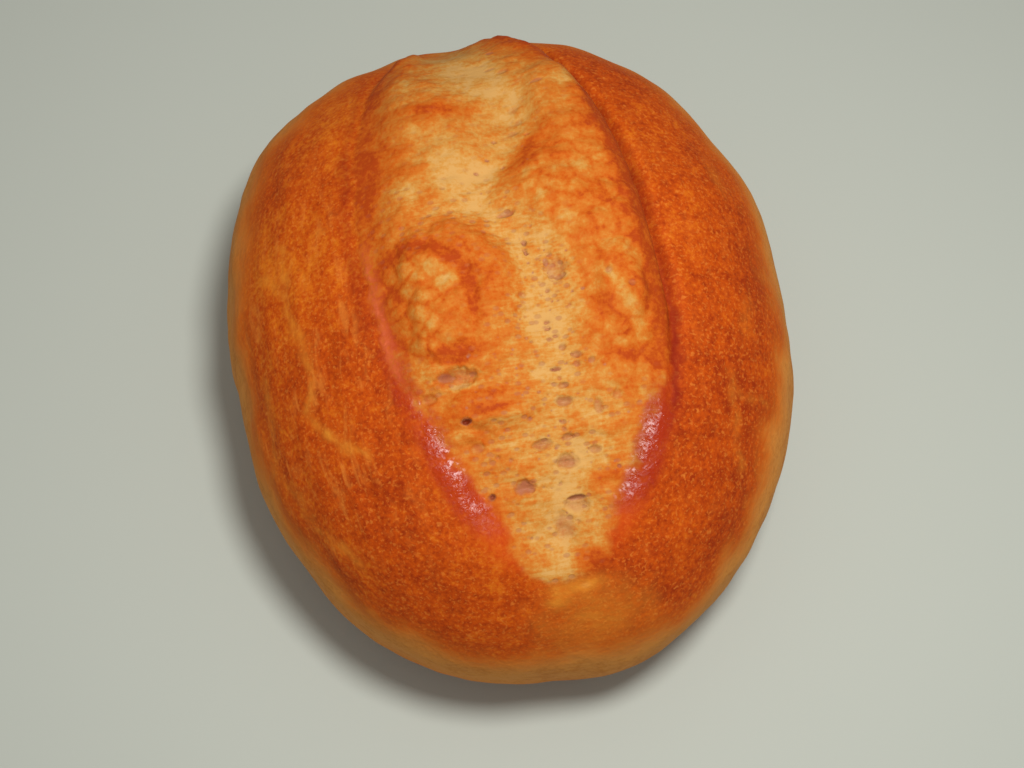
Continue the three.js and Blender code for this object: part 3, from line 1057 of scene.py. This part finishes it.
def crustFinish():
    look = crustLook
    colours = bakeColours
    finish = Finish("bakedCrust")
    objectPlace = finish.add("ShaderNodeTexCoord", out="Object")

    def inMillimetres(x=1.0, y=1.0, z=1.0):
        return finish.add("ShaderNodeMapping", {}, {"Vector": objectPlace, "Scale": (x / mm, y / mm, z / mm)})

    def swing(wire, size):
        return (wire - 0.5) * size  # noise swings about a half

    place = inMillimetres()
    contour = inMillimetres(*look["contour"])
    drawn = inMillimetres(*look["drawn"])
    paint = {name: finish.painted(name) for name in paintNames}

    # crust: broad clouds, mottling, pale specks and streaks, dark flecks
    broad = finish.noise(place, *look["broad"])
    mottle = finish.noise(place, *look["mottle"])
    fine = finish.noise(place, *look["fine"])
    streaky = finish.noise(contour, *look["streaky"])
    browning = 0.5 + swing(broad, 1.0) + swing(mottle, 1.0) + swing(fine, 1.0)
    browning = browning + swing(streaky, look["streakSwing"]) + paint["bake"] * look["bake"]
    tone = finish.add("ShaderNodeValToRGB", {"stops": colours["crust"]}, {"Fac": browning})
    shaken = finish.add("ShaderNodeVectorMath", {"operation": "MULTIPLY_ADD"}, {
        0: finish.noise(place, *look["shake"]).other("Color"), 1: look["shakeSize"], 2: place,
    })
    dots = finish.cells(shaken, look["dot"])
    dotShare = finish.step(dots, *look["dotEdge"]) * finish.step(dots.other("Color"), *look["dotPick"])
    dashes = finish.cells(contour, look["dash"])
    dashShare = finish.step(dashes, *look["dashEdge"]) * finish.step(dashes.other("Color"), *look["dashPick"])
    pricked = dotShare * look["dotShare"] + dashShare * look["dashShare"]
    tone = finish.blend(pricked, tone, colours["speck"])
    flecks = finish.step(finish.noise(place, *look["fleck"]), *look["fleckEdge"])
    tone = finish.blend(flecks * look["fleckShare"], tone, colours["fleck"])
    specks = finish.step(finish.noise(place, *look["speck"]), *look["speckEdge"])
    tone = finish.blend(specks * look["speckShare"], tone, colours["speck"])
    folds = finish.step(finish.noise(inMillimetres(*look["foldStretch"]), *look["fold"]), *look["foldEdge"])
    tone = finish.blend(folds * paint["wrinkle"] * look["foldShare"], tone, colours["speck"])
    tone = finish.blend(paint["wall"] * look["wallShare"], tone, colours["wall"])
    patchy = look["paleLevel"] + swing(mottle, look["paleMottle"]) + swing(streaky, look["paleStreaks"])
    bareShare = finish.step(paint["pale"], *look["bareEdge"])
    paleTone = finish.blend(bareShare, colours["palePatch"], colours["bare"])
    tone = finish.blend(paint["pale"] * patchy, tone, paleTone)

    # foot and base
    spots = broad * look["spotBroad"] + mottle * look["spotMottle"] + fine * look["spotFine"]
    spots = finish.step(spots + swing(streaky, look["spotStreaks"]), *look["spotEdge"])
    footTone = finish.blend(spots * look["spotShare"], colours["foot"], colours["footStreak"])
    foot = paint["foot"] + swing(mottle, look["footMottle"]) + swing(broad, look["footBroad"])
    foot = foot + swing(streaky, look["footStreaks"])
    goldenShare = finish.step(foot, *look["goldenEdge"]) * look["goldenShare"]
    tone = finish.blend(goldenShare, tone, colours["golden"])
    tone = finish.blend(finish.step(foot, *look["footEdge"]) * look["footShare"], tone, footTone)
    baseSpots = finish.step(mottle + swing(fine, look["baseFine"]), *look["baseEdge"])
    baseTone = finish.blend(baseSpots * look["baseShare"], colours["base"], colours["fleck"])
    crustTone = finish.blend(paint["base"], tone, baseTone)

    # crumb: cream where the dough stretched last, browned on what stands up
    marble = finish.noise(place, *look["marble"])
    thread = finish.noise(drawn, *look["thread"])
    crumbBrown = paint["toast"] + swing(marble, look["marbleSwing"]) + swing(fine, look["fineSwing"])
    crumbBrown = crumbBrown + swing(thread, look["threadSwing"]) * paint["strands"]
    crumbTone = finish.add("ShaderNodeValToRGB", {"stops": colours["crumb"]}, {"Fac": crumbBrown})
    foam = finish.cells(inMillimetres(*look["foamStretch"]), look["foam"])
    foamShare = finish.step(foam, *look["foamEdge"]) * finish.step(foam.other("Color"), *look["foamPick"])
    foamShare = foamShare * paint["strands"]
    crumbTone = finish.blend(foamShare * look["foamShare"], crumbTone, colours["film"])
    # pink film along the left lip, partly painted sheen and painted light
    sheenFilmShare = look["sheenFilmLevel"] + swing(marble, look["sheenFilmMarble"]) + swing(fine, look["sheenFilmFine"])
    crumbTone = finish.blend(paint["skin"] * sheenFilmShare, crumbTone, colours["skin"])
    film = paint["pore"] * (look["filmLevel"] + swing(mottle, look["filmMottle"]))
    film = finish.step(film, *look["filmEdge"])
    crumbTone = finish.blend(film * look["filmShare"], crumbTone, colours["film"])
    # painted shade: the deepest holes darkened
    crumbTone = finish.blend(finish.step(paint["pore"], *look["pitShadeEdge"]), crumbTone, colours["pitShade"])

    tone = finish.blend(paint["crumb"], crustTone, crumbTone)
    # painted shade: the creases darkened to a dark red
    tone = finish.blend(paint["crease"] * look["creaseShadeShare"], tone, colours["crease"])

    # shine: blistered skin on the near lips catches the light
    shine = paint["gloss"] * finish.step(finish.noise(place, *look["shine"]), *look["shineEdge"])
    tone = finish.blend(shine * look["scorchShare"], tone, colours["scorch"])
    blisters = finish.noise(place, *look["blister"]) * look["blisterRise"]
    pebbles = (1 - finish.cells(place, look["pebble"])) * look["pebbleRise"]
    crustRise = pebbles + fine * look["crustFine"] + mottle * look["crustMottle"]
    torn = thread * paint["strands"] * look["threadRise"] + fine * look["crumbFine"]
    torn = torn + marble * look["crumbMarble"] - foamShare * look["foamDepth"]
    height = crustRise * (1 - paint["crumb"]) + torn * paint["crumb"] + blisters * shine
    relief = finish.add("ShaderNodeBump", {}, {"Strength": 0.6, "Distance": 0.0002, "Height": height})
    wetPores = finish.step(paint["pore"], *look["poreEdge"]) * look["roughPore"]
    roughness = look["roughness"] + swing(mottle, look["roughMottle"]) - shine * look["roughShine"] - wetPores
    glints = shine * finish.step(finish.noise(place, *look["glint"]), *look["glintEdge"])
    shader = finish.add("ShaderNodeBsdfPrincipled", {}, {
        "Base Color": tone, "Roughness": roughness, "Normal": relief, "Specular IOR Level": 0.12,
        "Coat Weight": glints * look["glintShare"], "Coat Roughness": 0.32,
    })
    finish.add("ShaderNodeOutputMaterial", {}, {"Surface": shader})
    return finish.material


roll = bakeRoll()
roll.data.materials.append(crustFinish())
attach(roll, "root")
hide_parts("bread_roll")
print("finish: crust and crumb")


# Floor, camera and light
stage = {
    "azimuth": math.radians(-10),
    "elevation": math.radians(68),
    "distance": 0.2246,
    "target": Vector((-0.00079, -0.00559, 0.020)),
    "lens": 54.7,
    "keyShift": (0.034, 0.064),  # right of and above the lens
    "keySize": 0.05,
    "keyPower": 0.505,
    "fill": 0.36,
    "fillTone": (1.0, 0.98, 0.95, 1.0),
    "clipStart": 0.01,
    "floorTone": tint(184, 188, 177),
    "floorCloudTone": tint(172, 177, 166),
    "floorCloud": (0.05, 3.0),  # size in metres, detail
    "floorCloudShare": 0.12,
    "floorHalf": 1.5,
    "floorCuts": 4,
}


def floorFinish():
    finish = Finish("paleFloor")
    place = finish.add("ShaderNodeTexCoord", out="Object")
    cloud = finish.noise(place, *stage["floorCloud"])
    tone = finish.blend(cloud * stage["floorCloudShare"], stage["floorTone"], stage["floorCloudTone"])
    shader = finish.add("ShaderNodeBsdfPrincipled", {}, {"Base Color": tone, "Roughness": 0.8})
    finish.add("ShaderNodeOutputMaterial", {}, {"Surface": shader})
    return finish.material


def layFloor():
    bm = bmesh.new()
    cuts = stage["floorCuts"]
    bmesh.ops.create_grid(bm, x_segments=cuts, y_segments=cuts, size=stage["floorHalf"])
    mesh = bpy.data.meshes.new("paleFloor")
    bm.to_mesh(mesh)
    bm.free()
    floor = bpy.data.objects.new("paleFloor", mesh)
    bpy.context.collection.objects.link(floor)
    mesh.materials.append(floorFinish())


def aim(thing, place, target):
    thing.location = place
    thing.rotation_euler = (target - place).to_track_quat("-Z", "Y").to_euler()
    bpy.context.collection.objects.link(thing)


def setCamera():
    azimuth, elevation = stage["azimuth"], stage["elevation"]
    level = math.cos(elevation)
    back = Vector((math.sin(azimuth) * level, -math.cos(azimuth) * level, math.sin(elevation)))
    place = stage["target"] + back * stage["distance"]
    camera = bpy.data.objects.new("camera", bpy.data.cameras.new("camera"))
    camera.data.lens = stage["lens"]
    camera.data.sensor_fit = "HORIZONTAL"
    camera.data.clip_start = stage["clipStart"]
    aim(camera, place, stage["target"])
    bpy.context.scene.camera = camera
    right = Vector((math.cos(azimuth), math.sin(azimuth), 0))
    return place, right, back.cross(right)


def setLights(place, right, up):
    key = bpy.data.lights.new("softKey", "AREA")
    key.shape = "DISK"
    key.size = stage["keySize"]
    key.energy = stage["keyPower"]
    across, above = stage["keyShift"]
    aim(bpy.data.objects.new("softKey", key), place + right * across + up * above, stage["target"])
    world = bpy.data.worlds.new("studio")
    world.use_nodes = True
    background = world.node_tree.nodes["Background"]
    background.inputs["Color"].default_value = stage["fillTone"]
    background.inputs["Strength"].default_value = stage["fill"]
    bpy.context.scene.world = world
    bpy.context.scene.view_settings.view_transform = "Standard"


layFloor()
setLights(*setCamera())
print("stage: floor, camera, lights")
